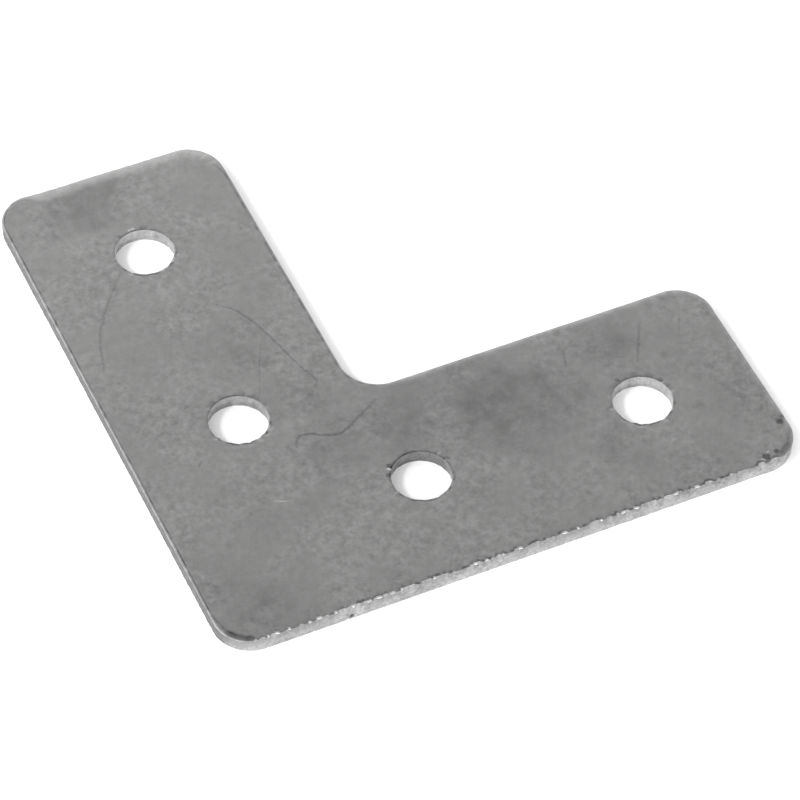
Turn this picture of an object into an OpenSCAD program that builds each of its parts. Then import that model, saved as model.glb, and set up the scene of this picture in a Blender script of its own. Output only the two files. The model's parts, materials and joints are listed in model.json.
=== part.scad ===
// Flat corner brace: one L-shaped plate blanked from steel sheet, with two bolt holes in each arm.
// The outer corner of the plate points to -X and -Y, and the arms run along +X and +Y.
// The origin is on the underside, where the centre lines of the two rows of holes cross.

/* [Plate] */
// Length of each arm, along its outer edge
arm_length = 77; // [70:0.5:120]
// Width of each arm
arm_width = 30; // [24:0.5:40]
// Thickness of the sheet
sheet_thickness = 2; // [1.5:0.1:4]
// Radius of the five outer corners
corner_radius = 4.7; // [2:0.1:10]
// Radius of the fillet in the inner corner
fillet_radius = 5; // [2:0.1:12]

/* [Bolt holes] */
// Diameter of each hole
hole_diameter = 7.5; // [4:0.1:9]
// Distance from the end of an arm to the centre of its outer hole
end_margin = 15; // [10:0.1:20]
// Distance between the two hole centres of an arm
hole_pitch = 30.1; // [16:0.1:36]

/* [Sheared edges] */
// Radius that the shear rolls over the top edge of the outline
edge_roll = 0.5; // [0.1:0.05:0.6]
// Height of the broken zone at the foot of the outline's wall
break_height = 0.6; // [0.2:0.05:0.8]
// Distance that the broken zone draws in under the wall
break_draw = 0.04; // [0.02:0.01:0.2]
// Radius that the punch rolls over the top rim of a hole
rim_roll = 0.2; // [0.05:0.05:0.4]
// Height of the breakout cone at the foot of a hole
breakout_height = 0.6; // [0.2:0.05:0.8]
// Distance that the breakout cone widens a hole at the underside
breakout_widening = 0.12; // [0.02:0.01:0.3]

/* [Hidden] */
$fn = 96;
steel_colour = [0.6, 0.6, 0.59];
// Length by which a cutter runs past the face that it cuts, and a rim or web into the metal it joins
overrun = 1;

// Distance of a row of holes from the outer edge: the middle of the arm
row = arm_width / 2;
outer_hole = arm_length - end_margin;
inner_hole = outer_hole - hole_pitch;
hole_places = [[inner_hole, row], [outer_hole, row], [row, inner_hole], [row, outer_hole]];

// The corners of the outline, anticlockwise from the outer one, with the metal on the left of each edge
corners = [
    [0, 0],
    [arm_length, 0],
    [arm_length, arm_width],
    [arm_width, arm_width],
    [arm_width, arm_length],
    [0, arm_length],
];
// Radius of each corner, negative where the outline turns inwards
radii = [
    corner_radius,
    corner_radius,
    corner_radius,
    -fillet_radius,
    corner_radius,
    corner_radius,
];
count = len(corners);
last = count - 1;

function next(i) = (i + 1) % count;
function before(i) = (i + last) % count;
function turns_in(i) = radii[i] < 0;
// Heading of the edge that leaves corner i, and the unit vectors along it and to its left
function edge(i) = corners[next(i)] - corners[i];
function heading(i) = atan2(edge(i).y, edge(i).x);
function along(i) = edge(i) / norm(edge(i));
function left(i) = [-along(i).y, along(i).x];
// Start, end and centre of the arc that rounds corner i, and the direction from the centre
// in which the arc's quarter turn begins
function arc_start(i) = corners[i] - along(before(i)) * abs(radii[i]);
function arc_end(i) = corners[i] + along(i) * abs(radii[i]);
function arc_centre(i) = arc_start(i) + left(before(i)) * radii[i];
function arc_from(i) = turns_in(i) ? heading(i) + 90 : heading(before(i)) - 90;

// A quarter of a disc, between the X and Y axes
module quarter_disc(radius) {
    intersection() {
        circle(radius);
        square(2 * radius);
    }
}

// Plan of the plate, drawn in by a distance all round: a polygon with its outer corners cut off
// along their chords and its inner corner sharp, then a disc in each outer corner
// and the fillet's web in the inner one. Each of these overlaps the polygon.
module plan(inset) {
    stops = [
        for (i = [0:last])
            each turns_in(i)
                ? [corners[i] + (left(before(i)) + left(i)) * inset]
                : [arc_start(i) + left(before(i)) * inset, arc_end(i) + left(i) * inset],
    ];
    polygon(stops);
    for (i = [0:last])
        if (turns_in(i))
            fillet_web(i, inset);
        else
            translate(arc_centre(i)) circle(radii[i] - inset);
}

// The metal between a sharp inner corner and its fillet's arc, drawn in by a distance
module fillet_web(i, inset) {
    reach = inset + overrun;
    difference() {
        polygon([
            corners[i] + (left(before(i)) + left(i)) * reach,
            arc_start(i) + left(before(i)) * reach,
            arc_centre(i),
            arc_end(i) + left(i) * reach,
        ]);
        translate(arc_centre(i)) circle(inset - radii[i]);
    }
}

// Section of the sheared rim: X is the distance outside the outline's wall and Y the height.
// From the top down it has the rolled edge, the smooth land and the broken zone, drawn in at its foot.
// It runs on into the plan, so that the two overlap.
module rim_section() {
    roll_foot = sheet_thickness - edge_roll;
    back = -edge_roll - overrun;
    polygon([
        [back, 0],
        [-break_draw, 0],
        [0, break_height],
        [0, roll_foot],
        [-edge_roll, roll_foot],
        [-edge_roll, sheet_thickness],
        [back, sheet_thickness],
    ]);
    translate([-edge_roll, roll_foot]) quarter_disc(edge_roll);
}

// The rim along the straight edge that leaves corner i
module rim_run(i) {
    finish = arc_start(next(i));
    translate(finish)
        rotate([90, 0, heading(i) - 90])
            linear_extrude(norm(finish - arc_end(i)))
                rim_section();
}

// The rim round corner i
module rim_turn(i) {
    translate(arc_centre(i))
        rotate(arc_from(i))
            rotate_extrude(angle = 90)
                translate([abs(radii[i]), 0])
                    if (turns_in(i))
                        mirror([1, 0]) rim_section();
                    else
                        rim_section();
}

module sheared_blank() {
    linear_extrude(sheet_thickness) plan(edge_roll);
    for (i = [0:last]) {
        rim_run(i);
        rim_turn(i);
    }
}

// What the punch takes out: a rolled rim at the top, a straight land and a breakout cone at the foot
module punched_slug() {
    land = hole_diameter / 2;
    roll_foot = sheet_thickness - rim_roll;
    rotate_extrude()
        difference() {
            polygon([
                [0, -overrun],
                [land + breakout_widening, -overrun],
                [land + breakout_widening, 0],
                [land, breakout_height],
                [land, roll_foot],
                [land + rim_roll, roll_foot],
                [land + rim_roll, sheet_thickness + overrun],
                [0, sheet_thickness + overrun],
            ]);
            translate([land + rim_roll, roll_foot])
                rotate(90)
                    quarter_disc(rim_roll);
        }
}

module corner_plate() {
    color(steel_colour)
        translate([-row, -row, 0])
            difference() {
                sheared_blank();
                for (place = hole_places)
                    translate(place) punched_slug();
            }
}

corner_plate();
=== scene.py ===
# %% [markdown]
# # A flat corner brace
#
# The object is one piece of hardware: an L-shaped plate blanked from 2 mm steel sheet, zinc
# plated, with two punched holes in each arm. Nothing on it moves. What makes it look real is
# small: the way the shear rolls over, smooths and tears its edge, the walls of the punched
# holes, and a dull plating with clouds, specks and hairline scratches.
#
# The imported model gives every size, so it is loaded first and measured.

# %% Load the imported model
import json
import math

import bpy
import numpy as np
from mathutils import Matrix, Vector
from mathutils.geometry import delaunay_2d_cdt


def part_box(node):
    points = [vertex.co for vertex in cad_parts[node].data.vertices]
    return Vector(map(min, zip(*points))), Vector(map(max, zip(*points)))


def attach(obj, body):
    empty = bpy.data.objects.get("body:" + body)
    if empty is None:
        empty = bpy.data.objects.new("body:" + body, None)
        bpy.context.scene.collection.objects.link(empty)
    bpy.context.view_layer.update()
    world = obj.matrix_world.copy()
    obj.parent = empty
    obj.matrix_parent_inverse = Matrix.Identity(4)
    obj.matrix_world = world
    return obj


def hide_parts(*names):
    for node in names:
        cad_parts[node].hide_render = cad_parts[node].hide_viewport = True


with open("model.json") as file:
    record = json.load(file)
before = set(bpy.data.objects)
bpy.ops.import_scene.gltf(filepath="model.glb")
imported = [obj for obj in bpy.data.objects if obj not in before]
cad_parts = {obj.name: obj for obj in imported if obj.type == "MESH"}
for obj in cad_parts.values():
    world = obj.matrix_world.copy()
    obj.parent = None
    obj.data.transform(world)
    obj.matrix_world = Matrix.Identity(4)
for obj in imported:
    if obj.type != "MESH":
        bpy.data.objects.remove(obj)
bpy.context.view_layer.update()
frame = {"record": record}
low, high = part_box("corner_plate")
print("plate, in mm:", [round(1000 * (b - a), 2) for a, b in zip(low, high)])

# %% [markdown]
# ## Sizes
#
# The working unit below is the millimetre, in which a small plate's sizes are short numbers;
# points are turned into metres only when they go into a mesh. The frame gives the arms' length,
# the thickness and the holes, and the two corner radii repeat the part's own. The origin lies on
# the middle line of both arms, so its distance from the outer edge is half an arm's width.

# %% Sizes in millimetres
MM = 0.001
mounts = frame["record"]["mounts"]
bores = [m for m in mounts if m["kind"] == "bore"]
holes = np.array([m["pos_m"][:2] for m in bores]) / MM
hole_radius = bores[0]["dims"]["r_mm"]

edge_at = low.x / MM
end_at = high.x / MM
inner_at = -edge_at
thickness = high.z / MM
corner_radius = 4.7
fillet_radius = 5.0
print("holes at", holes.tolist(), "radius", hole_radius, "arm width", 2 * inner_at)

# %% [markdown]
# ## Camera
#
# A view is a direction, a distance and a lens. The camera looks at the plate from its outer
# corner's side, well above it, through a long lens. Its axes are worked out as three vectors: one
# that points back from the plate to the camera, one to the right and one up, with a small roll.

# %% Camera
view_turn = math.radians(-26.65)
view_height = math.radians(50.0)
view_roll = math.radians(2.53)
view_distance = 504.75 * MM
view_target = Vector((19.485, 11.865, 2.0)) * MM
lens_length, sensor_width = 184.4, 36


def view_axes(turn, height, roll):
    """Right, up and back vectors of a camera: back is the direction from the target at that
    turn and height, right is level, and both others are then rolled about back."""
    back = Vector((math.sin(turn) * math.cos(height), -math.cos(turn) * math.cos(height), math.sin(height)))
    level = Vector((math.cos(turn), math.sin(turn), 0))
    upward = back.cross(level)
    right = level * math.cos(roll) + upward * math.sin(roll)
    up = upward * math.cos(roll) - level * math.sin(roll)
    return right, up, back


right, up, back = view_axes(view_turn, view_height, view_roll)
camera_data = bpy.data.cameras.new("camera")
camera_data.lens = lens_length
camera_data.sensor_width = sensor_width
camera_data.clip_start = 0.01
camera = bpy.data.objects.new("camera", camera_data)
facing = Matrix((right, up, back)).transposed().to_4x4()
camera.matrix_world = Matrix.Translation(view_target + back * view_distance) @ facing
bpy.context.scene.collection.objects.link(camera)
bpy.context.scene.camera = camera
print("camera at", [round(v, 3) for v in camera.matrix_world.translation])

# %% [markdown]
# ## Nodes as sums
#
# A material or a sky is a small circuit: numbers flow from node to node into a shader. A few
# helpers keep the circuits readable as sums. `calc` is one arithmetic step, `span` maps a range to
# another, and `new_group` starts a reusable effect with named inputs and outputs.

# %% Node helpers
def fill(socket, value):
    """Joins a socket to another one, or sets its number."""
    if isinstance(value, bpy.types.NodeSocket):
        socket.id_data.links.new(value, socket)
    else:
        socket.default_value = value


def node(tree, kind, **inputs):
    """Adds a node and fills its inputs by name, with _ for a space."""
    made = tree.nodes.new("ShaderNode" + kind)
    for name, value in inputs.items():
        fill(made.inputs[name.replace("_", " ")], value)
    return made


def calc(tree, operation, *values):
    """One Math step on one to three numbers."""
    made = tree.nodes.new("ShaderNodeMath")
    made.operation = operation
    for socket, value in zip(made.inputs, values):
        fill(socket, value)
    return made.outputs[0]


def vector_calc(tree, operation, *values):
    """One Vector Math step; DOT_PRODUCT and LENGTH give a number."""
    made = tree.nodes.new("ShaderNodeVectorMath")
    made.operation = operation
    for socket, value in zip(made.inputs, values):
        fill(socket, value)
    return made.outputs["Value" if operation in ("DOT_PRODUCT", "LENGTH") else "Vector"]


def span(tree, value, low_in, high_in, low_out=0.0, high_out=1.0):
    """Maps low_in..high_in to low_out..high_out by a smooth step, held at both ends."""
    made = node(tree, "MapRange", Value=value)
    made.interpolation_type = "SMOOTHSTEP"
    limits = {"From Min": low_in, "From Max": high_in, "To Min": low_out, "To Max": high_out}
    for name, limit in limits.items():
        fill(made.inputs[name], limit)
    return made.outputs["Result"]


def cloud(tree, vector, size, detail=2.0, stretch=None):
    """Noise of about 0.5 mean whose features are size mm across; stretch scales each axis first."""
    if stretch is not None:
        vector = vector_calc(tree, "MULTIPLY", vector, stretch)
    made = node(tree, "TexNoise", Vector=vector, Scale=calc(tree, "DIVIDE", 1.0, size), Detail=detail)
    return made.outputs["Fac"]


def new_group(name, inputs, outputs):
    """A shader node group with sockets (name, type, default); returns it, its inputs and outputs."""
    group = bpy.data.node_groups.new(name, "ShaderNodeTree")
    for label, kind, default in inputs:
        socket = group.interface.new_socket(label, in_out="INPUT", socket_type="NodeSocket" + kind)
        if default is not None:
            socket.default_value = default
    for label, kind in outputs:
        group.interface.new_socket(label, in_out="OUTPUT", socket_type="NodeSocket" + kind)
    entry = group.nodes.new("NodeGroupInput").outputs
    leave = group.nodes.new("NodeGroupOutput").inputs
    return group, entry, leave


def use(tree, group, **inputs):
    """Places a group in a tree with its inputs filled by name, and returns its outputs."""
    made = tree.nodes.new("ShaderNodeGroup")
    made.node_tree = group
    for name, value in inputs.items():
        fill(made.inputs[name.replace("_", " ")], value)
    return made.outputs


print("node helpers ready")

# %% [markdown]
# ## Floor and light
#
# Plated metal shows little colour of its own: it shows what is around it, so the room is part of
# the finish. Small hardware is usually photographed in a light tent: bright cloth low down all
# round, brightest at the left here, and a dim opening overhead. The top face mirrors the cloth
# half way up, where it fades, so its grey drifts across the plate. A rolled edge bends away from
# flat and mirrors another part of the tent, so it shows as a darker or paler line, and the upright
# walls mirror the white table. A small lamp at the left adds the short shadow at the right of each
# edge. The metal doesn't mirror it, because its glint would be one thin line where the real edges
# are soft.

# %% Table
table_half = 1.5
table_colour = (0.9, 0.9, 0.9, 1)
table_roughness = 0.9


def new_object(name, vertices, faces):
    """An object at the origin, with its place in its mesh."""
    mesh = bpy.data.meshes.new(name)
    mesh.from_pydata(vertices, [], faces)
    made = bpy.data.objects.new(name, mesh)
    bpy.context.scene.collection.objects.link(made)
    return made


signs = [(-1, -1), (1, -1), (1, 1), (-1, 1)]
table = new_object("table", [(x * table_half, y * table_half, 0) for x, y in signs], [(0, 1, 2, 3)])
table_paint = bpy.data.materials.new("table white")
table_paint.use_nodes = True
table_shader = table_paint.node_tree.nodes["Principled BSDF"]
table_shader.inputs["Base Color"].default_value = table_colour
table_shader.inputs["Roughness"].default_value = table_roughness
table.data.materials.append(table_paint)
print("table:", 2 * table_half, "m wide")

# %% Light tent
cloth_light, opening_light = 2.1, 0.4
cloth_top, opening_edge = 0.45, 0.97
side_middle, side_slope = 1.22, -0.75


def light_tent(name):
    """A world whose strength falls with the height of a direction and from left to right.

    strength = span(z) * (side_middle + side_slope * x), for a direction (x, y, z) of length 1.
    """
    made = bpy.data.worlds.new(name)
    made.use_nodes = True
    tree = made.node_tree
    ray = node(tree, "SeparateXYZ", Vector=node(tree, "TexCoord").outputs["Generated"]).outputs
    level = span(tree, ray["Z"], cloth_top, opening_edge, cloth_light, opening_light)
    side = calc(tree, "MULTIPLY_ADD", ray["X"], side_slope, side_middle)
    tree.nodes["Background"].inputs["Color"].default_value = (1, 1, 1, 1)
    fill(tree.nodes["Background"].inputs["Strength"], calc(tree, "MULTIPLY", level, side))
    return made


bpy.context.scene.world = light_tent("light tent")
bpy.context.scene.view_settings.view_transform = "Standard"
print("tent: cloth", cloth_light, "opening", opening_light)

# %% Side lamp
lamp_turn, lamp_height = math.radians(-92), math.radians(47)
lamp_distance, lamp_size, lamp_power = 0.9, 0.1, 3.0
lamp_ray = Vector((
    math.sin(lamp_turn) * math.cos(lamp_height),
    math.cos(lamp_turn) * math.cos(lamp_height),
    math.sin(lamp_height)))
lamp_data = bpy.data.lights.new("side lamp", "AREA")
lamp_data.size = lamp_size
lamp_data.energy = lamp_power
side_lamp = bpy.data.objects.new("side lamp", lamp_data)
side_lamp.location = view_target + lamp_distance * lamp_ray
side_lamp.rotation_euler = (-lamp_ray).to_track_quat("-Z", "Y").to_euler()
side_lamp.visible_glossy = False
bpy.context.scene.collection.objects.link(side_lamp)
print("side lamp:", lamp_power, "W from the left")

# %% [markdown]
# ## The outline as a path
#
# A blanked plate is a flat shape with one section carried round its edge. So the outline is made
# as a path: points spaced evenly along straight legs and quarter arcs, each with the direction
# that points out of the metal. Any inner or outer line of the section is then the path moved
# along those directions, which is exact on straight legs and arcs alike.

# %% Outline path
front_step, other_step = 0.1, 0.15
leg_steps = [front_step] + [other_step] * 5


def outline_path(steps):
    """Stations round the plate, anticlockwise from the outer corner's arc.

    Corner i has a quarter arc that turns left where its radius is positive, and right where it
    is negative. Its centre is the arc's start plus the leftward unit vector times the radius.
    The legs are the front, the right end, the inner right edge, the inner left edge, the far end
    and the left edge, each with the arc before it and its own step. Returns the points, the
    outward normals and each station's leg.
    """
    corner = np.array([
        [edge_at, edge_at], [end_at, edge_at], [end_at, inner_at],
        [inner_at, inner_at], [inner_at, end_at], [edge_at, end_at]])
    radius = np.array([corner_radius] * 3 + [-fillet_radius] + [corner_radius] * 2)[:, None]
    along = np.roll(corner, -1, 0) - corner
    along /= np.linalg.norm(along, axis=1, keepdims=True)
    left = np.stack([-along[:, 1], along[:, 0]], 1)
    start = corner - np.roll(along, 1, 0) * abs(radius)
    finish = corner + along * abs(radius)
    centre = start + np.roll(left, 1, 0) * radius
    points, normals, legs = [], [], []
    for i in range(len(corner)):
        sign = np.sign(radius[i, 0])
        count = math.ceil(abs(radius[i, 0]) * math.pi / 2 / steps[i])
        first = math.atan2(*(start[i] - centre[i])[::-1])
        angle = first + sign * math.pi / 2 * np.arange(count) / count
        ray = np.stack([np.cos(angle), np.sin(angle)], 1)
        points.append(centre[i] + abs(radius[i]) * ray)
        normals.append(ray * sign)
        length = np.linalg.norm(start[(i + 1) % len(corner)] - finish[i])
        straight = math.ceil(length / steps[i])
        points.append(finish[i] + along[i] * length * (np.arange(straight) / straight)[:, None])
        normals.append(np.tile(-left[i], (straight, 1)))
        legs.append(np.full(count + straight, i))
    return np.concatenate(points), np.concatenate(normals), np.concatenate(legs)


def run_along(points):
    """Distance walked from the first station to each one, and once round."""
    steps = np.linalg.norm(np.roll(points, -1, 0) - points, axis=1)
    return np.concatenate([[0], np.cumsum(steps)[:-1]]), steps.sum()


path, outward, leg = outline_path(leg_steps)
run, run_total = run_along(path)
print("outline:", len(path), "stations,", round(run_total, 1), "mm round")

# %% [markdown]
# ## Noise that closes on itself
#
# A torn edge is uneven, but not evenly uneven: it has long swells and short teeth. Both can come
# from value noise, which puts random numbers at the points of a grid and joins them by smooth
# steps. The grid wraps round at the end of the path, so the edge has no seam.

# %% Value noise
seed = 20
dice = np.random.default_rng(seed)


def wrapped_noise(along, total, cell, across=None, row=1.0):
    """Smooth noise from -1 to 1 on a strip that closes on itself.

    The lattice has a random value at each whole number of cells along and rows across. Between
    lattice points the value is blended by 3t^2 - 2t^3, with t the fraction of a cell passed.
    """
    across = np.zeros(1) if across is None else across
    cells = max(1, round(total / cell))
    u = np.broadcast_to(along * cells / total, np.broadcast(along, across).shape)
    v = np.broadcast_to(across / row, u.shape)
    v = v - np.floor(v.min())
    table = dice.uniform(-1, 1, (cells, int(v.max()) + 2))
    i, j = np.floor(u).astype(int), np.floor(v).astype(int)
    s, t = u - i, v - j
    s, t = s * s * (3 - 2 * s), t * t * (3 - 2 * t)
    i0, i1 = i % cells, (i + 1) % cells
    lower = table[i0, j] * (1 - s) + table[i1, j] * s
    upper = table[i0, j + 1] * (1 - s) + table[i1, j + 1] * s
    return lower * (1 - t) + upper * t


def step_up(value, start, end):
    """0 below start, 1 above end, and a smooth rise between them."""
    t = np.clip((value - start) / (end - start), 0, 1)
    return t * t * (3 - 2 * t)


print("noise at the seam:", wrapped_noise(np.array([0.0, run_total - 1e-6]), run_total, 2.0).round(4))

# %% [markdown]
# ## The sheared section
#
# Shears leave the same zones everywhere. From the top down: the metal is pulled over into a
# shallow rolled edge, then rubbed smooth by the blade, then it snaps and leaves a rough broken
# zone. The section is a grid: rows go down the section, and columns are the stations of the
# path. Three rows lie ahead of the roll. The last can sink into a groove, which the torn places
# need, and the two before it stay level and close together. Without them the groove would tilt
# the shading of the wide flat faces behind it, and show as long streaks.

# %% Sheared section
flat_margin = 2.9
groove_width = 0.45
lip_places = np.array([1.2, 1.0, 0.5])
lip_sinks = np.array([0.0, 0.0, 1.0])
roll_power, back_power = 0.8, 3
lip_rows, roll_rows, land_rows, break_rows = len(lip_places), 7, 4, 8


def carry(points, normals, out, height):
    """Carries a section along a closed path: station + normal * out, at that height."""
    place = points[:, None, :] + normals[:, None, :] * out[..., None]
    return np.concatenate([place, height[..., None]], 2)


def section(width, depth, land_foot, draw, dents, back=0.0, groove=0.0, sunk=0.0):
    """A sheared section as two arrays, out and height: a line for each station, rows along it.

    The roll is nearly a quarter ellipse: out = width (cos a - 1) and height = top - depth *
    (1 - sin a)^roll_power, with a from 90 degrees to 0 and top = thickness - sunk. The wall goes
    down to land_foot and on to the underside, where it has come in by draw. The upper edge may be
    set back: this is taken off out as back * (height / thickness)^back_power, and so are the dents.
    The lip's rows lie lip_places groove widths behind the roll. The first row of all and the last
    lie flat_margin inside the outline, on the top and on the underside.
    """
    count = len(width)
    column = [np.broadcast_to(v, count)[:, None] for v in (width, depth, land_foot, back, groove, sunk)]
    width, depth, land_foot, back, groove, sunk = column
    lip_out = -width - groove_width * lip_places
    lip_height = thickness - groove * lip_sinks
    angle = np.linspace(math.pi / 2, 0, roll_rows)[None]
    roll_out = width * (np.cos(angle) - 1)
    roll_height = thickness - sunk - depth * (1 - np.sin(angle)) ** roll_power
    part = np.linspace(0, 1, land_rows + 1)[None, 1:]
    land_height = roll_height[:, -1:] * (1 - part) + land_foot * part
    part = np.linspace(0, 1, break_rows + 1)[None, 1:]
    break_height = land_foot * (1 - part)
    height = np.concatenate([lip_height, roll_height, land_height, break_height], 1)
    land_out = np.zeros((count, land_rows))
    break_out = -draw * part + np.zeros((count, 1))
    wall_out = np.concatenate([land_out, break_out], 1) - dents
    out = np.concatenate([lip_out, roll_out, wall_out], 1) - back * (height / thickness) ** back_power
    margin = np.full((count, 1), -flat_margin)
    out = np.concatenate([margin, out, margin], 1)
    height = np.concatenate([margin * 0 + thickness, height, margin * 0], 1)
    return out, height


wall_rows = land_rows + break_rows
rows_down = 2 + lip_rows + roll_rows + wall_rows
roll_start = 1 + lip_rows
roll_foot = lip_rows + roll_rows
foot_row = rows_down - 2
print("rows down the section:", rows_down)

# %% [markdown]
# ## The torn front edge
#
# The front edge was cropped with a worn blade, so it has no rolled edge: it is torn back unevenly
# along its top, and the wall leans out from there to its foot. Here and there the blade left a
# small bright burr in front of a groove. A burr is a bump along the run: full near its middle,
# and gone a little beyond half its length to either side.

# %% Front edge
burr_places = np.array([
    -9.8, -8.6, -7.1, -4.5, -3.2, -1.1, 1.2, 3.2, 4.5, 6.2, 7.5, 11.8, 17.2, 18.6, 20.8, 23.1, 29.0,
    30.8, 33.9, 36.9, 38.7, 44.1, 46.9])
shortest_burr, longest_burr = 0.22, 0.75
least_tear, deepest_tear = 0.02, 0.34
tear_groove, burr_groove = 0.012, 0.035

burr_lengths = dice.uniform(shortest_burr, longest_burr, len(burr_places))
torn = step_up(-outward[:, 1], 0.93, 1.0)
from_burr = abs(path[:, :1] - burr_places[None]) / (burr_lengths[None] / 2)
burr = torn * (1 - step_up(from_burr, 0.6, 1.3)).max(1)
tear = 0.5 + 0.2 * wrapped_noise(run, run_total, 2.2) + 0.35 * wrapped_noise(run, run_total, 0.55)
tear = tear + 0.2 * wrapped_noise(run, run_total, 0.28)
front_back = torn * (least_tear + deepest_tear * step_up(tear, 0.2, 0.8) * (1 - 0.75 * burr))
grooved = step_up(wrapped_noise(run, run_total, 0.6), -0.2, 0.6)
front_groove = torn * (tear_groove * grooved + burr_groove * burr)
print("burrs:", len(burr_places), "torn back by up to", front_back.max().round(2), "mm")

# %% Outline section
roll_widths = np.array([0.8, 0.8, 0.85, 0.5, 1.8, 0.45])
roll_depths = np.array([0.33, 0.28, 0.15, 0.16, 0.43, 0.2])
raggedness = np.array([0.5, 0.4, 0.5, 0.1, 0.4, 0.1])
torn_width, burr_width = 0.05, 0.1
torn_depth, burr_depth = 0.03, 0.08
land_foot_height = 0.95
foot_out = 0.06
land_dent, break_dent = 0.006, 0.03


def spread(values, length, total):
    """A running mean along the closed path, so that what differs by leg changes gently."""
    width = max(1, round(len(values) * length / total))
    kernel = np.ones(width) / width
    padded = np.concatenate([values[-width:], values, values[:width]])
    return np.convolve(padded, kernel, "same")[width:-width]


def outline_section():
    """The sheared section at each station: each leg's own roll, and the torn front edge."""
    swell = wrapped_noise(run, run_total, 6.0)
    grit = wrapped_noise(run, run_total, 0.5)
    ragged = spread(raggedness[leg], 4.0, run_total)
    uneven = 1 + 0.12 * swell + 0.25 * ragged * grit
    width = spread(roll_widths[leg], 3.0, run_total) * uneven
    depth = spread(roll_depths[leg], 3.0, run_total) * uneven
    width = width * (1 - torn) + torn * (torn_width + burr_width * burr)
    depth = depth * (1 - torn) + torn * (torn_depth + burr_depth * burr)
    land_foot = land_foot_height * (1 + 0.12 * swell + 0.2 * wrapped_noise(run, run_total, 1.6))
    down = np.arange(wall_rows)[None] / wall_rows
    rough = wrapped_noise(run[:, None], run_total, 0.4, down, 0.18)
    fine = wrapped_noise(run[:, None], run_total, 0.2, down, 0.08)
    broken = np.maximum(torn[:, None], down > land_rows / wall_rows)
    dents = (land_dent + break_dent * broken) * (1 + 0.6 * rough + 0.4 * fine)
    draw = -foot_out * torn[:, None]
    sunk = front_groove * (1 - burr)
    return section(width, depth, land_foot, draw, dents, front_back, front_groove, sunk)


# Painted shade: a dark line along the rolled edge, set per leg and deeper round the two front corners, most
# at the left one, stands for the dark that the roll mirrors there.
leg_painted_shade = np.array([0.1, 0.05, 0.05, 0.38, 0.0, 0.45])
left_corner_painted_shade, right_corner_painted_shade = 0.4, 0.2
corner_painted_shade = np.where(outward[:, 0] < 0, left_corner_painted_shade, right_corner_painted_shade)
corner_painted_shade = corner_painted_shade * step_up(abs(outward[:, 0]) - outward[:, 1], 1.1, 1.35)
outline_painted_shade = np.maximum(spread(leg_painted_shade[leg], 2.0, run_total), corner_painted_shade)
outline_painted_shade = outline_painted_shade * np.clip(1 + 0.7 * wrapped_noise(run, run_total, 0.7), 0, 2)
# Painted shade: a mottled dark band on the top just behind the torn front edge, darker towards the right,
# stands for the shade in its shallow groove.
front_painted_shade = torn * (0.1 + 0.35 * step_up(path[:, 0], -6, 6))
front_painted_shade = front_painted_shade * np.clip(0.4 + wrapped_noise(run, run_total, 0.4), 0, 1)
outline_grid = carry(path, outward, *outline_section())
print("outline grid:", outline_grid.shape, "out to", outline_grid.max((0, 1)).round(3))

# %% [markdown]
# ## The punched holes
#
# A punch makes the same zones inside out: a small rolled rim, a smooth land as wide as the punch,
# and a breakout that opens towards the underside. The circle is walked clockwise, so that the
# metal is again on the left, and the same section function serves. The rims are darkened by
# painted shade, most on the side towards the front edge, and the walls of two of the holes are grimy.

# %% Hole sections
rim_width, rim_depth = 0.22, 0.09
hole_land_foot = 0.75
hole_widening = 0.1
hole_land_dent = 0.008
chip_back, chip_groove, chip_sunk = 0.05, 0.03, 0.04
hole_stations = 200


def hole_grid(centre):
    """The punched section carried clockwise round a hole's circle, with chips in its rim."""
    angle = -2 * math.pi * np.arange(hole_stations) / hole_stations
    ray = np.stack([np.cos(angle), np.sin(angle)], 1)
    points = centre + hole_radius * ray
    length, total = run_along(points)
    uneven = 1 + 0.3 * wrapped_noise(length, total, 1.5) + 0.4 * wrapped_noise(length, total, 0.4)
    chip = step_up(wrapped_noise(length, total, 0.6), 0.2, 0.7)
    swell = 1 + 0.3 * wrapped_noise(length, total, 3.0) + 0.15 * wrapped_noise(length, total, 0.8)
    down = np.arange(wall_rows)[None] / wall_rows
    rough = wrapped_noise(length[:, None], total, 0.35, down, 0.2)
    dents = (hole_land_dent + break_dent * (down > land_rows / wall_rows)) * (1 + rough)
    return carry(points, -ray, *section(
        rim_width * uneven, rim_depth * uneven, hole_land_foot * swell, hole_widening, dents,
        back=chip_back * chip, groove=chip_groove * chip, sunk=chip_sunk * chip))


# Painted shade: each rim is darkened a little all round, and most on the side towards the front edge.
hole_turn = 2 * math.pi * np.arange(hole_stations) / hole_stations
hole_rim_painted_shade = np.clip(1 + wrapped_noise(hole_radius * hole_turn, 2 * math.pi * hole_radius, 0.5), 0, 2)
least_rim_painted_shade, near_rim_painted_shade = 0.06, 0.3
hole_rim_painted_shade = hole_rim_painted_shade * (least_rim_painted_shade + near_rim_painted_shade * step_up(np.sin(hole_turn), 0.0, 0.7))
wall_grime = [0.5, 0.0, 0.25, 0.0]
hole_grids = [hole_grid(centre) for centre in holes]
print("hole grids:", len(hole_grids), "of", hole_grids[0].shape)

# %% [markdown]
# ## The two flat faces
#
# What is left of each face is a flat region between one long ring and four round ones. A
# constrained Delaunay triangulation fills such a region. It is given the rings as fixed edges and
# a loose grid of points between them. It also fills the holes, so the triangles there are dropped.

# %% Flat faces
inner_step = 2.5
within_edges, nearest_points = 1, 1e-6


def from_holes(points):
    """Distance from each point to the nearest hole's centre."""
    return np.linalg.norm(points[:, None] - holes[None], axis=2).min(1)


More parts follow.
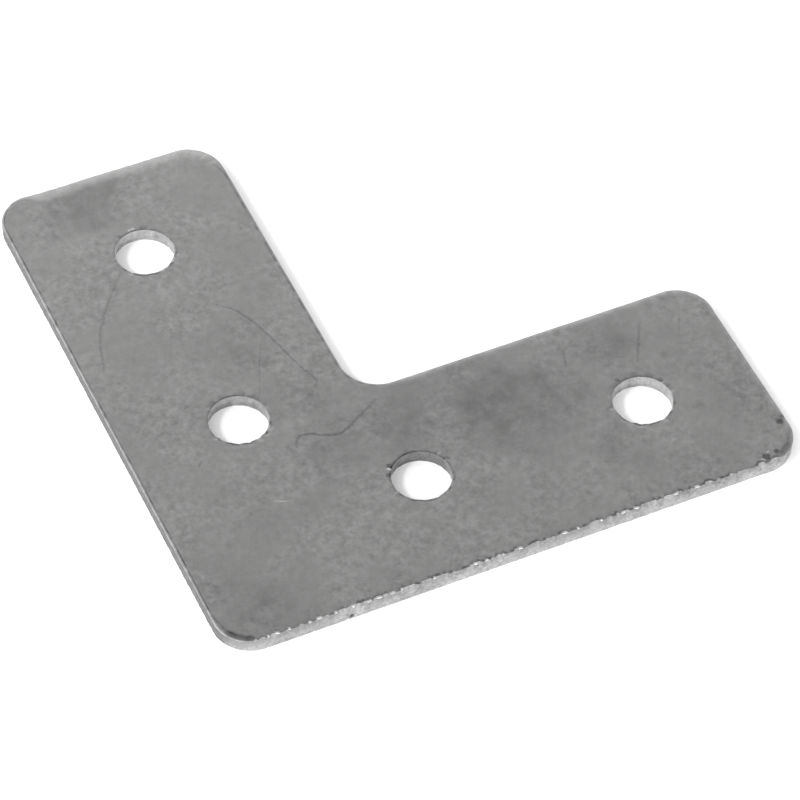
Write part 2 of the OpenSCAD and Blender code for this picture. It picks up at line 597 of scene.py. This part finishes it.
def fill_face(rings):
    """Triangles between closed rings of plan points, as (loose points, triangles).

    The numbers in the triangles name the rings' points in order, and after them the loose ones.
    """
    ring_points = np.concatenate(rings)
    axis = np.arange(edge_at, end_at, inner_step) + inner_step / 2
    loose = np.stack(np.meshgrid(axis, axis), 2).reshape(-1, 2)
    to_rings = np.linalg.norm(loose[:, None] - ring_points[None], axis=2).min(1)
    loose = loose[to_rings > inner_step / 3]
    sizes = [len(ring) for ring in rings]
    firsts = np.cumsum([0] + sizes[:-1])
    edges = np.concatenate([
        np.stack([first + np.arange(size), first + (np.arange(size) + 1) % size], 1)
        for first, size in zip(firsts, sizes)])
    given = np.concatenate([ring_points, loose])
    plan = [Vector(p) for p in given]
    found = delaunay_2d_cdt(plan, edges.tolist(), [], within_edges, nearest_points)
    triangles = np.array([ids[0] for ids in found[3]])[np.array(found[2])]
    # A hair less than the rings' radius, because their chords cut inside the circle
    in_metal = from_holes(given[triangles].mean(1)) > hole_radius + 0.99 * flat_margin
    used, triangles = np.unique(triangles[in_metal], return_inverse=True)
    used_loose = given[used[used >= len(ring_points)]]
    return used_loose, triangles.reshape(-1, 3)


grids = [outline_grid] + hole_grids
top_loose, top_triangles = fill_face([g[:, 0, :2] for g in grids])
foot_loose, foot_triangles = fill_face([g[:, -1, :2] for g in grids])
print("top:", len(top_triangles), "triangles, underside:", len(foot_triangles))

# %% [markdown]
# ## One closed mesh
#
# The grids and the two faces share their rings, so they join into one watertight skin with no
# seam to merge. Each vertex also gets three numbers that the materials will read: how much it
# belongs to a burr, which lightens it as bare metal and as a painted glint, how much it is
# darkened, and its zone: 0 down to the roll's foot, 1 at the land's foot and 2 at the underside.
# The darkening is painted shade: a thin line along the outline where the flat face turns into the
# roll, half as much further down the roll, a band behind the torn front edge, and the holes' rims.
# On two holes it is also grime on the walls. The material of a face follows the row it lies in:
# plating on the faces and rolled edges, sheared steel on the outline's wall, and the punched
# finish in the holes.

# %% Plate mesh
burr_rows = 3
plate_index, sheared_index, punched_index = 0, 1, 2


def grid_faces(count, first):
    """Quads of a closed grid of stations and rows, numbered station by station from first."""
    i, k = np.meshgrid(np.arange(count), np.arange(rows_down - 1), indexing="ij")
    following = (i + 1) % count
    return np.stack([
        first + i * rows_down + k, first + i * rows_down + k + 1,
        first + following * rows_down + k + 1, first + following * rows_down + k], 2).reshape(-1, 4)


def plate_mesh(name):
    """The whole skin as one mesh, in metres, with its attributes and material numbers."""
    sizes = [len(g) for g in grids]
    firsts = np.cumsum([0] + [size * rows_down for size in sizes])
    ring_ids = [first + rows_down * np.arange(size) for first, size in zip(firsts, sizes)]
    top_ids = np.concatenate(ring_ids + [firsts[-1] + np.arange(len(top_loose))])
    foot_first = firsts[-1] + len(top_loose)
    foot_rings = [ids + rows_down - 1 for ids in ring_ids]
    foot_ids = np.concatenate(foot_rings + [foot_first + np.arange(len(foot_loose))])
    top_points = np.pad(top_loose, ((0, 0), (0, 1)), constant_values=thickness)
    foot_points = np.pad(foot_loose, ((0, 0), (0, 1)))
    points = np.concatenate([g.reshape(-1, 3) for g in grids] + [top_points, foot_points])

    quads = np.concatenate([grid_faces(size, first) for size, first in zip(sizes, firsts)])
    tops, feet = top_ids[top_triangles], foot_ids[foot_triangles][:, ::-1]
    mesh = bpy.data.meshes.new(name)
    mesh.from_pydata((points * MM).tolist(), [], quads.tolist() + tops.tolist() + feet.tolist())

    row = np.tile(np.arange(rows_down - 1), sum(sizes))
    wall = (row >= roll_foot) & (row < foot_row)
    of_outline = np.arange(len(quads)) < sizes[0] * (rows_down - 1)
    index = np.where(wall, np.where(of_outline, sheared_index, punched_index), plate_index)
    index = np.concatenate([index, np.full(len(tops) + len(feet), plate_index)])
    mesh.polygons.foreach_set("material_index", index.astype(np.int32))
    mesh.polygons.foreach_set("use_smooth", np.ones(len(index), bool))

    loose = len(points) - firsts[-1]
    zone = np.concatenate([[0] * (1 + roll_foot), np.arange(1, land_rows + 1) / land_rows,
                           1 + np.arange(1, break_rows + 1) / break_rows, [2]])
    in_burr = np.zeros((sum(sizes), rows_down))
    in_burr[:sizes[0], roll_start:roll_foot + burr_rows] = burr[:, None]
    put_attribute(mesh, "burr", np.concatenate([in_burr.reshape(-1), np.zeros(loose)]))
    in_dirt_and_shade = np.zeros((sum(sizes), rows_down))
    in_dirt_and_shade[:sizes[0], roll_start + 1] = outline_painted_shade
    in_dirt_and_shade[:sizes[0], roll_start + 2:roll_foot] = 0.5 * outline_painted_shade[:, None]
    in_dirt_and_shade[:sizes[0], roll_start - 1:roll_start + 1] = front_painted_shade[:, None]
    in_dirt_and_shade[sizes[0]:, roll_start + 2:] = np.repeat(wall_grime, hole_stations)[:, None]
    rims = in_dirt_and_shade[sizes[0]:, roll_start:roll_foot]
    np.maximum(rims, np.tile(hole_rim_painted_shade, len(holes))[:, None], out=rims)
    in_dirt_and_shade[:, foot_row:] = 0
    put_attribute(mesh, "dirt_and_shade", np.concatenate([in_dirt_and_shade.reshape(-1), np.zeros(loose)]))
    put_attribute(mesh, "zone", np.concatenate([np.tile(zone, sum(sizes)), np.zeros(loose)]))
    mark_sharp(mesh, np.concatenate([ids + foot_row for ids in ring_ids]))
    mesh.update()
    return mesh


def put_attribute(mesh, name, values):
    """Stores one number a vertex under a name."""
    layer = mesh.attributes.new(name, "FLOAT", "POINT")
    layer.data.foreach_set("value", values.astype(np.float32))


def mark_sharp(mesh, ids):
    """Marks every edge with both ends among the given vertices as a crease in the shading."""
    chosen = np.zeros(len(mesh.vertices), bool)
    chosen[ids] = True
    ends = np.empty(2 * len(mesh.edges), np.int32)
    mesh.edges.foreach_get("vertices", ends)
    layer = mesh.attributes.new("sharp_edge", "BOOLEAN", "EDGE")
    layer.data.foreach_set("value", chosen[ends.reshape(-1, 2)].all(1))


plate = bpy.data.objects.new("corner_plate_dressed", plate_mesh("corner_plate_dressed"))
bpy.context.scene.collection.objects.link(plate)
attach(plate, "root")
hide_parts("corner_plate")
print("plate:", len(plate.data.vertices), "vertices,", len(plate.data.polygons), "faces")

# %% [markdown]
# ## Clouded zinc
#
# Dull zinc is never one grey. Its crystals give a fine mottle under a millimetre, drying water
# leaves soft clouds a few millimetres wide, and handling darkens larger patches. The group puts out
# one shade that the base colour is multiplied by, and one height for the bump.

# %% Clouded zinc group
zinc, entry, leave = new_group("clouded zinc", [
    ("Vector", "Vector", None),
    ("Mottle", "Float", 0.1),
    ("Clouds", "Float", 0.1),
    ("Streaks", "Float", 0.03),
], [("Shade", "Float"), ("Height", "Float")])
streak_turn = math.radians(63)
across_streaks = (math.sin(streak_turn), -math.cos(streak_turn), 0)
along_streaks = (math.cos(streak_turn), math.sin(streak_turn), 0)


def centred(tree, noise, amount):
    """(noise - 0.5) * amount * 2: noise about zero."""
    about_zero = calc(tree, "SUBTRACT", noise, 0.5)
    return calc(tree, "MULTIPLY", about_zero, calc(tree, "MULTIPLY", amount, 2.0))


vector = entry["Vector"]
fine = cloud(zinc, vector, 0.45, 2.0)
middle = cloud(zinc, vector, 1.1, 2.0)
wide = cloud(zinc, vector, 4.0, 3.0)
widest = cloud(zinc, vector, 14.0, 2.0)
turned = node(zinc, "CombineXYZ", X=vector_calc(zinc, "DOT_PRODUCT", vector, across_streaks),
              Y=vector_calc(zinc, "DOT_PRODUCT", vector, along_streaks)).outputs[0]
streak = cloud(zinc, turned, 0.35, 2.0, (1.0, 0.03, 1.0))
mottle_here = span(zinc, cloud(zinc, vector, 7.0, 1.0), 0.35, 0.65, 0.5, 1.5)
mottle = calc(zinc, "MULTIPLY", entry["Mottle"], mottle_here)
shade = calc(zinc, "ADD", 1.0, centred(zinc, fine, mottle))
shade = calc(zinc, "ADD", shade, centred(zinc, middle, calc(zinc, "MULTIPLY", mottle, 1.2)))
shade = calc(zinc, "ADD", shade, centred(zinc, wide, entry["Clouds"]))
shade = calc(zinc, "ADD", shade, centred(zinc, widest, entry["Clouds"]))
shade = calc(zinc, "ADD", shade, centred(zinc, streak, entry["Streaks"]))
fill(leave["Shade"], shade)
fill(leave["Height"], calc(zinc, "ADD", fine, calc(zinc, "MULTIPLY", middle, 0.6)))
print("group:", zinc.name, "with", len(zinc.nodes), "nodes")

# %% [markdown]
# ## A hairline
#
# Each scratch on the plate is a thin curved line. A line from A to B has two natural coordinates
# at any point P: u, how far along it P is as a share of its length, and v, how far to its side.
# The curve bends by a parabola in u, and the mask is 1 where v is within half the width of it.
# Long scratches are chains of such pieces, and a piece's strength runs from one end's value to the
# other's.

# %% Hairline group
hairline, entry, leave = new_group("hairline", [
    ("Vector", "Vector", None),
    ("Start", "Vector", None),
    ("End", "Vector", None),
    ("Bend", "Float", 0.0),
    ("Width", "Float", 0.2),
    ("Start Strength", "Float", 1.0),
    ("End Strength", "Float", 1.0),
], [("Mask", "Float")])


def hairline_mask(tree, given):
    """u = AP.AB / AB.AB; v = (AB x AP).z / |AB|; offset = |v - 4 bend u (1 - u) + wobble|."""
    flat = vector_calc(tree, "MULTIPLY", given["Vector"], (1, 1, 0))
    line = vector_calc(tree, "SUBTRACT", given["End"], given["Start"])
    reach = vector_calc(tree, "SUBTRACT", flat, given["Start"])
    along = vector_calc(tree, "DOT_PRODUCT", reach, line)
    u = calc(tree, "DIVIDE", along, vector_calc(tree, "DOT_PRODUCT", line, line))
    turn = vector_calc(tree, "CROSS_PRODUCT", line, reach)
    aside = vector_calc(tree, "DOT_PRODUCT", turn, (0, 0, 1))
    v = calc(tree, "DIVIDE", aside, vector_calc(tree, "LENGTH", line))
    bow = calc(tree, "MULTIPLY", calc(tree, "MULTIPLY", u, calc(tree, "SUBTRACT", 1.0, u)), 4.0)
    bow = calc(tree, "MULTIPLY", bow, given["Bend"])
    wobble = centred(tree, cloud(tree, flat, 0.8, 2.0), calc(tree, "MULTIPLY", given["Width"], 0.3))
    offset = calc(tree, "ABSOLUTE", calc(tree, "ADD", calc(tree, "SUBTRACT", v, bow), wobble))
    inside = calc(tree, "MULTIPLY", calc(tree, "GREATER_THAN", u, 0.0), calc(tree, "LESS_THAN", u, 1.0))
    half = calc(tree, "MULTIPLY", given["Width"], 0.5)
    thin = span(tree, offset, calc(tree, "MULTIPLY", half, 0.2), half, 1.0, 0.0)
    strength = node(tree, "Mix", Factor=u)
    fill(strength.inputs["A"], given["Start Strength"])
    fill(strength.inputs["B"], given["End Strength"])
    broken = span(tree, cloud(tree, flat, 0.5, 2.0), 0.3, 0.5, 0.45, 1.0)
    mask = calc(tree, "MULTIPLY", calc(tree, "MULTIPLY", thin, inside), strength.outputs["Result"])
    return calc(tree, "MULTIPLY", mask, broken)


fill(leave["Mask"], hairline_mask(hairline, entry))
print("group:", hairline.name, "with", len(hairline.nodes), "nodes")

# %% [markdown]
# ## A stain
#
# Clouded patches, specks and blots are all one thing at different sizes: a soft round spot whose
# rim is pushed in and out by noise. So one group with a place, a radius and a raggedness makes
# them all.

# %% Stain group
stain, entry, leave = new_group("stain", [
    ("Vector", "Vector", None),
    ("Centre", "Vector", None),
    ("Radius", "Float", 1.0),
    ("Softness", "Float", 0.5),
    ("Raggedness", "Float", 0.3),
], [("Mask", "Float")])


def stain_mask(tree, given):
    """1 where |P - centre| + noise is under radius * (1 - softness), 0 beyond the radius."""
    place = given["Vector"]
    away = vector_calc(tree, "LENGTH", vector_calc(tree, "SUBTRACT", place, given["Centre"]))
    ragged = calc(tree, "MULTIPLY", given["Raggedness"], given["Radius"])
    push = cloud(tree, place, calc(tree, "MULTIPLY", given["Radius"], 0.6), 3.0)
    away = calc(tree, "ADD", away, centred(tree, push, ragged))
    inner = calc(tree, "MULTIPLY", given["Radius"], calc(tree, "SUBTRACT", 1.0, given["Softness"]))
    return span(tree, away, inner, given["Radius"], 1.0, 0.0)


fill(leave["Mask"], stain_mask(stain, entry))
print("group:", stain.name, "with", len(stain.nodes), "nodes")

# %% [markdown]
# ## Where the marks are
#
# Each scratch is a chain on the top face: a name, a width, and points with their strength. A
# piece's bend comes from how the chain turns at its two ends: an eighth of the piece's length
# times the mean of the two turns. Each spot is a name, its place, its radius and its depth.

# %% Marks
scratches = [
    ("long left", 0.6, [
        (-3.9, 45.1, 0.5), (-10.0, 37.1, 0.75), (-11.6, 32.6, 0.75), (-12.5, 29.4, 0.3)]),
    ("long middle", 0.5, [
        (4.8, 35.2, 0.5), (6.7, 33.3, 0.9), (8.6, 28.7, 0.9), (9.6, 24.9, 1.0), (10.6, 21.0, 0.8),
        (11.3, 18.7, 0.8), (9.6, 16.9, 0.1)]),
    ("curl", 0.65, [
        (17.0, 13.3, 0.4), (13.1, 11.1, 1.0), (10.6, 9.9, 1.1), (8.0, 10.8, 1.1), (6.0, 11.6, 1.1),
        (5.1, 10.8, 1.0), (4.8, 9.9, 0.7)]),
    ("faint", 0.3, [(7.8, 27.9, 0.3), (6.0, 24.2, 0.6), (3.6, 18.7, 0.4)]),
    ("tick", 0.5, [(-6.6, 12.8, 0.5), (-7.4, 11.8, 1.0)]),
    ("streak by the end", 0.5, [(58.2, 12.0, 0.2), (57.0, 9.6, 0.5), (55.8, 7.3, 0.2)]),
    ("streak", 0.6, [(52.4, 11.6, 0.5), (50.6, 8.2, 0.9), (49.2, 5.8, 0.5)]),
    ("streak by the edge", 0.5, [(41.5, 11.1, 0.4), (40.7, 8.6, 0.8)]),
]
# Bright marks: the nicks are bare metal, and the chip and rim glints are painted highlights.
bright_nicks_and_painted_glints = [
    ("nick", 0.3, [(-1.2, 3.5, 0.25), (0.3, 2.8, 0.45)]),
    ("rim nick", 0.4, [(13.5, 2.6, 1.0), (13.9, 2.3, 1.0)]),
    ("chip glint", 0.3, [(57.2, -13.5, 1.0), (57.6, -13.4, 1.0)]),
    ("chip glint two", 0.25, [(56.1, -14.1, 1.0), (56.5, -14.5, 1.0)]),
    ("rim glint", 0.45, [(-0.6, 51.1, 1.0), (0.3, 51.2, 1.0)]),
]
patches = [
    ("left of the middle", 4.6, 27.1, 7.0, 0.09),
    ("down to the fillet", 8.0, 17.2, 7.0, 0.12),
    ("at the fillet", 9.5, 10.0, 8.0, 0.14),
    ("beyond the fillet", 18.1, 9.0, 9.0, 0.17),
    ("wide cloud", 29.0, 7.0, 11.5, 0.26),
    ("end of the wide cloud", 35.3, 5.0, 9.0, 0.22),
    ("towards the end", 46.5, 9.8, 7.0, 0.17),
    ("end cloud", -4.8, 56.9, 7.0, 0.22),
    ("end cloud two", -0.5, 59.0, 4.5, 0.14),
    ("corner cloud", -8.6, -10.6, 6.0, 0.16),
    ("edge cloud", 40.8, -6.0, 6.0, 0.14),
    ("by the third hole", 22.0, -5.0, 4.0, 0.08),
    ("right end", 58.5, -4.0, 7.0, 0.1),
    ("end spot", 52.9, 5.4, 1.2, 0.14),
    ("end spot two", 52.9, -3.4, 1.4, 0.16),
    ("end spot three", 61.1, -9.6, 1.3, 0.16),
    ("end spot four", 60.4, 2.2, 1.5, 0.12),
]
pitted = [
    ("pits by the burrs", 3.4, -13.9, 2.6, 1.0),
    ("pits two", 7.6, -13.6, 2.2, 1.0),
    ("pits three", -3.0, -14.0, 2.0, 0.8),
    ("pits at the corner", -9.5, -13.8, 2.2, 0.8),
    ("pits four", 15.1, -13.6, 2.5, 0.7),
    ("pits five", 27.0, -14.0, 3.0, 0.6),
    ("pits six", 39.6, -14.0, 3.0, 0.6),
]
specks = [
    ("blot", 6.4, 23.7, 0.6, 0.5),
    ("end blot", 61.0, -9.8, 0.6, 1.5),
    ("end blot two", 61.6, -9.1, 0.35, 1.2),
    ("end speck", 60.9, -6.5, 0.3, 0.6),
    ("chip", 56.8, -14.1, 0.75, 2.2),
    ("chip two", 58.4, -13.8, 0.45, 2.0),
    ("rim chip", 13.9, 2.9, 0.5, 1.8),
    ("rim chip two", 13.2, 1.6, 0.45, 1.5),
    ("rim chip three", 21.0, 1.2, 0.35, 1.3),
    ("top rim chip", 45.6, 4.1, 0.4, 1.4),
    ("top rim chip two", 50.6, 1.9, 0.35, 1.2),
]


def bends(points):
    """Sideways bow of each piece of a chain, so that the chain turns evenly at its points.

    A curve stands off its chord by length / 8 * the change of direction over it, and that change is
    half the sum of the turns at the piece's two ends. A left turn bows to the right.
    """
    steps = np.diff(points, axis=0)
    heading = np.unwrap(np.arctan2(steps[:, 1], steps[:, 0]))
    turn = np.concatenate([[0], np.diff(heading), [0]])
    return -np.linalg.norm(steps, axis=1) / 16 * (turn[:-1] + turn[1:])


for name, width, chain in scratches:
    print(name, "bends", bends(np.array(chain)[:, :2]).round(2).tolist())

# %% [markdown]
# ## Three finishes of one steel
#
# The plating, the sheared wall and the punched wall are the same metal, worked in three ways. They
# share the groups above with their own values. The plating adds the marks; the walls add upright
# drag lines, which are noise stretched along the height, and grow rough below the smooth land.

# %% Shared material parts
bump_depth = 0.02 * MM


def start_material(name):
    """A new material; returns it, its tree, its shader and the object coordinates in mm."""
    made = bpy.data.materials.new(name)
    made.use_nodes = True
    tree = made.node_tree
    place = node(tree, "TexCoord").outputs["Object"]
    return made, tree, tree.nodes["Principled BSDF"], vector_calc(tree, "MULTIPLY", place, (1 / MM,) * 3)


def height_of(tree, vector):
    """The z coordinate in mm."""
    return vector_calc(tree, "DOT_PRODUCT", vector, (0, 0, 1))


def mesh_number(tree, name):
    """One of the mesh's own numbers."""
    made = node(tree, "Attribute")
    made.attribute_name = name
    return made.outputs["Fac"]


def finish_metal(tree, shader, colour, shade, roughness, height, strength):
    """Feeds a metal: colour * shade, a roughness and a bump."""
    shader.inputs["Metallic"].default_value = 1.0
    fill(shader.inputs["Base Color"], vector_calc(tree, "MULTIPLY", colour, node(
        tree, "CombineXYZ", X=shade, Y=shade, Z=shade).outputs[0]))
    fill(shader.inputs["Roughness"], roughness)
    bump = node(tree, "Bump", Height=height, Strength=strength, Distance=bump_depth)
    fill(shader.inputs["Normal"], bump.outputs["Normal"])


def strongest(tree, masks):
    """The greatest of several masks."""
    total = masks[0]
    for mask in masks[1:]:
        total = calc(tree, "MAXIMUM", total, mask)
    return total


def chain_masks(tree, vector, chains):
    """The hairline masks of every piece of every chain."""
    masks = []
    for name, width, chain in chains:
        points = np.array(chain)
        for start, end, bend in zip(points[:-1], points[1:], bends(points[:, :2])):
            masks.append(use(
                tree, hairline, Vector=vector, Start=(*start[:2], 0), End=(*end[:2], 0), Bend=bend,
                Width=width, Start_Strength=start[2], End_Strength=end[2])["Mask"])
    return strongest(tree, masks)


def spot_masks(tree, vector, spots, softness, raggedness):
    """The stain masks of a list of spots in plan, each times its depth."""
    flat = vector_calc(tree, "MULTIPLY", vector, (1, 1, 0))
    return strongest(tree, [calc(tree, "MULTIPLY", use(
        tree, stain, Vector=flat, Centre=(x, y, 0), Radius=radius, Softness=softness,
        Raggedness=raggedness)["Mask"], depth) for name, x, y, radius, depth in spots])


print("shared parts ready")

# %% Plating
zinc_colour = (0.24, 0.24, 0.238)
zinc_roughness = 0.36
burr_metal_and_painted_glint_gain, bright_gain = 2.0, 1.2
scratch_depth, pit_depth = 0.28, 0.16
mark_roughness = 0.12
scratch_dig = 0.8
zinc_bump = 0.25


def plating():
    """Dull zinc with clouds, patches, pits, specks and scratches on its upper face, and with painted
    shade along its edges and rims and a few painted glints.
    """
    made, tree, shader, vector = start_material("dull zinc plating")
    shade = use(tree, zinc, Vector=vector, Mottle=0.185, Clouds=0.11, Streaks=0.03)
    on_top = calc(tree, "GREATER_THAN", height_of(tree, vector), thickness / 2)
    uneven = span(tree, cloud(tree, vector, 2.5, 3.0), 0.3, 0.7, 0.6, 1.4)
    dark_patch = calc(tree, "MULTIPLY", spot_masks(tree, vector, patches, 1.0, 0.6), uneven)
    dark_speck = spot_masks(tree, vector, specks, 0.5, 0.6)
    scratch = chain_masks(tree, vector, scratches)
    bright = chain_masks(tree, vector, bright_nicks_and_painted_glints)
    pores = span(tree, cloud(tree, vector, 0.3, 2.0), 0.45, 0.6)
    pits = calc(tree, "MULTIPLY", spot_masks(tree, vector, pitted, 0.8, 0.5), pores)
    marked = strongest(tree, [scratch, dark_speck])
    loss = calc(tree, "MULTIPLY_ADD", marked, scratch_depth, dark_patch)
    loss = calc(tree, "MULTIPLY_ADD", pits, pit_depth, loss)
    loss = calc(tree, "MULTIPLY", loss, on_top)
    # Painted shade: the mesh number darkens the rolled edges, the hole rims and the top behind the torn
    # front edge.
    kept = calc(tree, "SUBTRACT", calc(tree, "SUBTRACT", 1.0, loss), mesh_number(tree, "dirt_and_shade"))
    # Painted highlight: the glint marks lighten the top, as do the bare nicks.
    kept = calc(tree, "MULTIPLY_ADD", calc(tree, "MULTIPLY", bright, on_top), bright_gain, kept)
    # Burr vertices are lightened: partly bare metal, and partly a painted glint where the burrs would catch
    # the light.
    kept = calc(tree, "MULTIPLY_ADD", mesh_number(tree, "burr"), burr_metal_and_painted_glint_gain, kept)
    level = calc(tree, "MULTIPLY", shade["Shade"], kept)
    rough = calc(tree, "ADD", zinc_roughness, calc(tree, "MULTIPLY", marked, mark_roughness))
    dug = calc(tree, "MULTIPLY", calc(tree, "MULTIPLY", scratch, on_top), scratch_dig)
    height = calc(tree, "SUBTRACT", shade["Height"], dug)
    finish_metal(tree, shader, zinc_colour, level, rough, height, zinc_bump)
    return made


plate.data.materials.append(plating())
print("material:", plate.data.materials[0].name)

# %% Walls
front_spot = (0.9, edge_at, 0.45)
grain_gain = 0.6
wall_bump = 0.5


def worked_wall(name, colour, drag, roughness, break_shade, front_tone_and_painted_glow):
    """A cut wall: drag lines down its land, and a rough broken zone below.

    The torn front edge is broken all the way up. It is paler at its foot by the front gain, and by
    half of that at its top: the paler tone is its own, and its rise towards the foot is a painted
    reflection of the bright table. It has one dark spot of grime.
    """
    made, tree, shader, vector = start_material(name)
    shade = use(tree, zinc, Vector=vector, Mottle=0.3, Clouds=0.08, Streaks=0.0)
    lines = cloud(tree, vector, 0.16, 3.0, (1, 1, 0.07))
    grains = cloud(tree, vector, 0.14, 3.0, (0.5, 0.5, 1))
    along_side = vector_calc(tree, "DOT_PRODUCT", vector, (0, 1, 0))
    front = span(tree, along_side, edge_at + 0.3, edge_at + corner_radius, 1.0, 0.0)
    broken = calc(tree, "MAXIMUM", front, span(tree, mesh_number(tree, "zone"), 0.9, 1.1))
    land = calc(tree, "SUBTRACT", 1.0, broken)
    level = calc(tree, "MULTIPLY_ADD", centred(tree, lines, drag), land, shade["Shade"])
    level = calc(tree, "MULTIPLY_ADD", centred(tree, grains, grain_gain), broken, level)
    level = calc(tree, "MULTIPLY", level, calc(tree, "MULTIPLY_ADD", broken, break_shade, 1.0))
    # Painted reflection: the torn front wall grows paler towards its foot, as the bright table would make
    # it.
    foot = span(tree, height_of(tree, vector), 0.2, thickness, front_tone_and_painted_glow, front_tone_and_painted_glow / 2)
    level = calc(tree, "MULTIPLY", level, calc(tree, "MULTIPLY_ADD", front, foot, 1.0))
    dirt_and_shade = use(tree, stain, Vector=vector, Centre=front_spot, Radius=0.45, Softness=0.6, Raggedness=0.4)
    level = calc(tree, "MULTIPLY", level, calc(tree, "MULTIPLY_ADD", dirt_and_shade["Mask"], -0.75, 1.0))
    level = calc(tree, "MULTIPLY", level, calc(tree, "SUBTRACT", 1.0, mesh_number(tree, "dirt_and_shade")))
    height = calc(tree, "MULTIPLY_ADD", grains, broken, calc(tree, "MULTIPLY", lines, land))
    finish_metal(tree, shader, colour, level, roughness, height, wall_bump)
    return made


plate.data.materials.append(worked_wall(
    "sheared steel", colour=(0.12,) * 3, drag=0.3, roughness=0.4, break_shade=0.04, front_tone_and_painted_glow=2.35))
plate.data.materials.append(worked_wall(
    "punched steel", colour=(0.43,) * 3, drag=0.3, roughness=0.36, break_shade=-0.1, front_tone_and_painted_glow=0.0))
print("materials:", [m.name for m in plate.data.materials])
